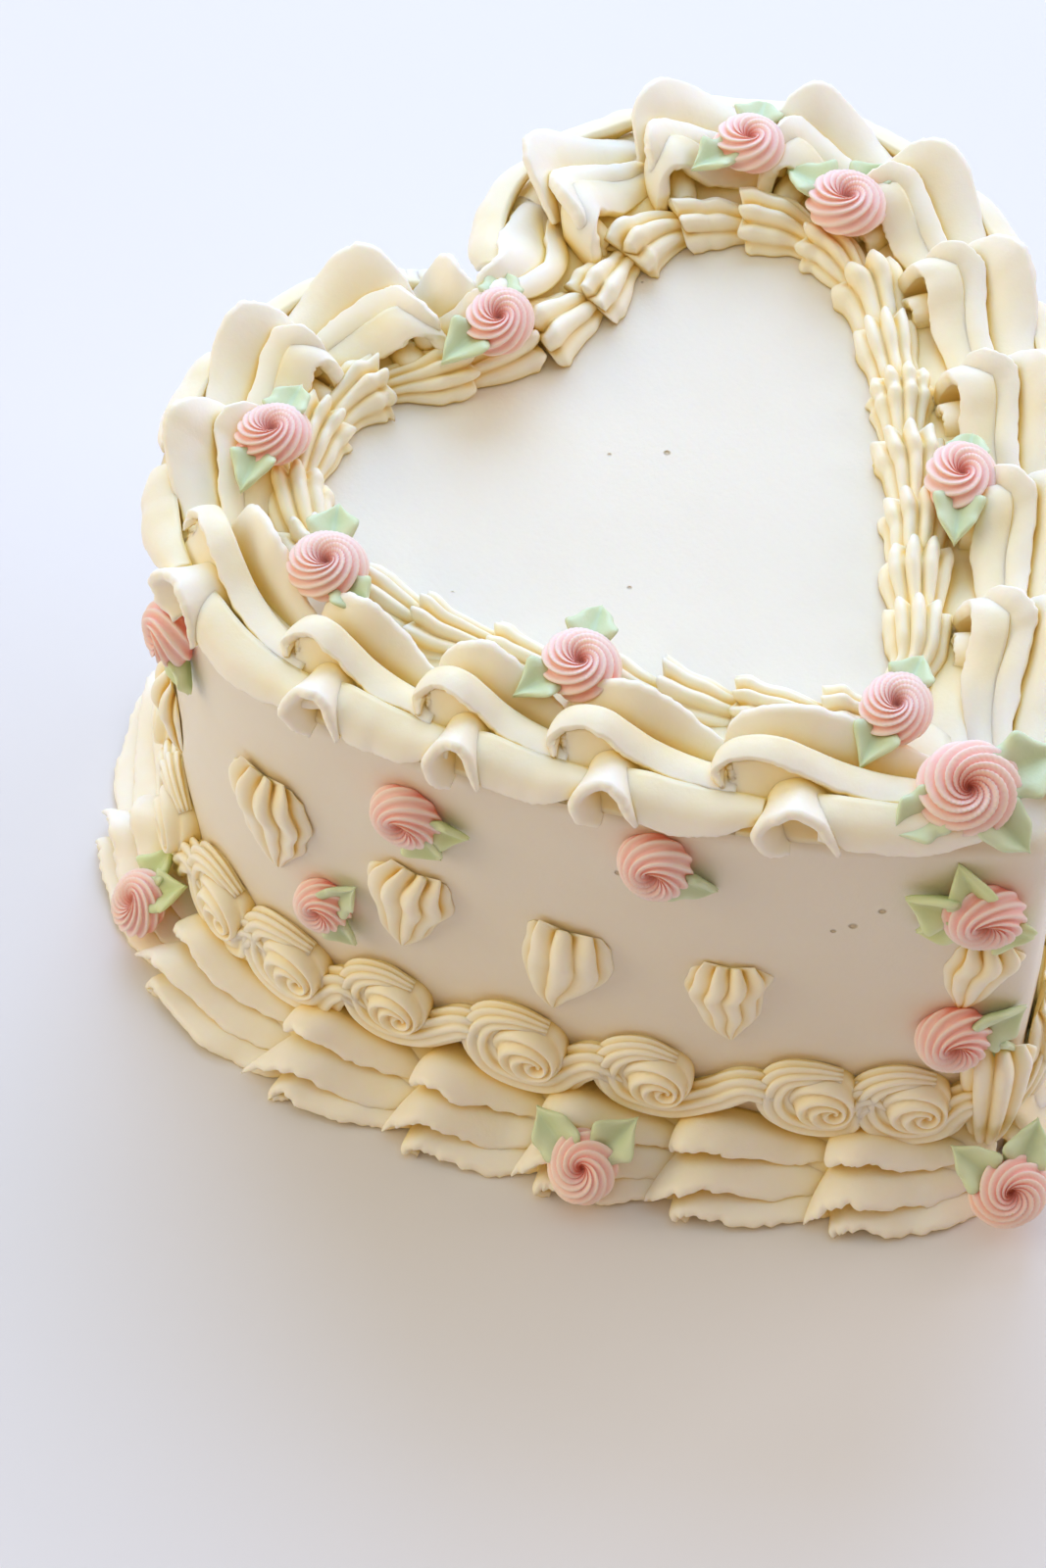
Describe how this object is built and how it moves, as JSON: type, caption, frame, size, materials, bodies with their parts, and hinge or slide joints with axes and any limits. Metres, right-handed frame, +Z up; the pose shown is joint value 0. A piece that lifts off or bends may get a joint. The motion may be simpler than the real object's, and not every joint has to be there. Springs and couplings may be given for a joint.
{
  "type": "vintage piped cake",
  "caption": "Heart-shaped layer cake, smooth on top and sides, with piped ruffle, shell and scroll borders and small roses.",
  "frame": {"origin": "centre of the cake's underside, on the surface that it stands on", "axes": "+Z up, the heart's point towards -Y and its cleft towards +Y"},
  "size_m": [0.1999, 0.2041, 0.1139],
  "materials": {
    "smooth_cream": "satin buttercream smoothed with a spatula",
    "ruffle_cream": "satin buttercream piped with a petal tip",
    "shell_cream": "satin buttercream piped with a star tip",
    "rose_cream": "soft pink buttercream swirled with a star tip",
    "leaf_cream": "pale green buttercream piped with a leaf tip"
  },
  "bodies": {
    "root": {"frosted_heart": "smooth_cream", "top_ruffles_left": "ruffle_cream", "top_ruffles_right": "ruffle_cream", "inner_shells_left": "shell_cream", "inner_shells_right": "shell_cream", "rope_scrolls_left": "shell_cream", "rope_scrolls_right": "shell_cream", "base_ruffles_left": "ruffle_cream", "base_ruffles_right": "ruffle_cream", "wall_shell_01": "shell_cream", "wall_shell_02": "shell_cream", "wall_shell_03": "shell_cream", "wall_shell_04": "shell_cream", "wall_shell_05": "shell_cream", "wall_shell_06": "shell_cream", "wall_shell_07": "shell_cream", "wall_shell_08": "shell_cream", "wall_shell_09": "shell_cream", "wall_shell_10": "shell_cream", "wall_shell_11": "shell_cream", "wall_shell_12": "shell_cream", "wall_shell_13": "shell_cream", "top_flower_01": "rose_cream", "top_flower_02": "rose_cream", "top_flower_03": "rose_cream", "top_flower_04": "rose_cream", "top_flower_05": "rose_cream", "top_flower_06": "rose_cream", "top_flower_07": "rose_cream", "top_flower_08": "rose_cream", "top_flower_09": "rose_cream", "wall_flower_01": "rose_cream", "wall_flower_02": "rose_cream", "wall_flower_03": "rose_cream", "wall_flower_04": "rose_cream", "wall_flower_05": "rose_cream", "wall_flower_06": "rose_cream", "wall_flower_07": "rose_cream", "wall_flower_08": "rose_cream", "wall_flower_09": "rose_cream", "wall_flower_10": "rose_cream", "wall_flower_11": "rose_cream", "wall_flower_12": "rose_cream", "wall_flower_13": "rose_cream", "base_flower_01": "rose_cream", "base_flower_02": "rose_cream", "base_flower_03": "rose_cream", "base_flower_04": "rose_cream", "base_flower_05": "rose_cream", "base_flower_06": "rose_cream"}
  },
  "joints": []
}
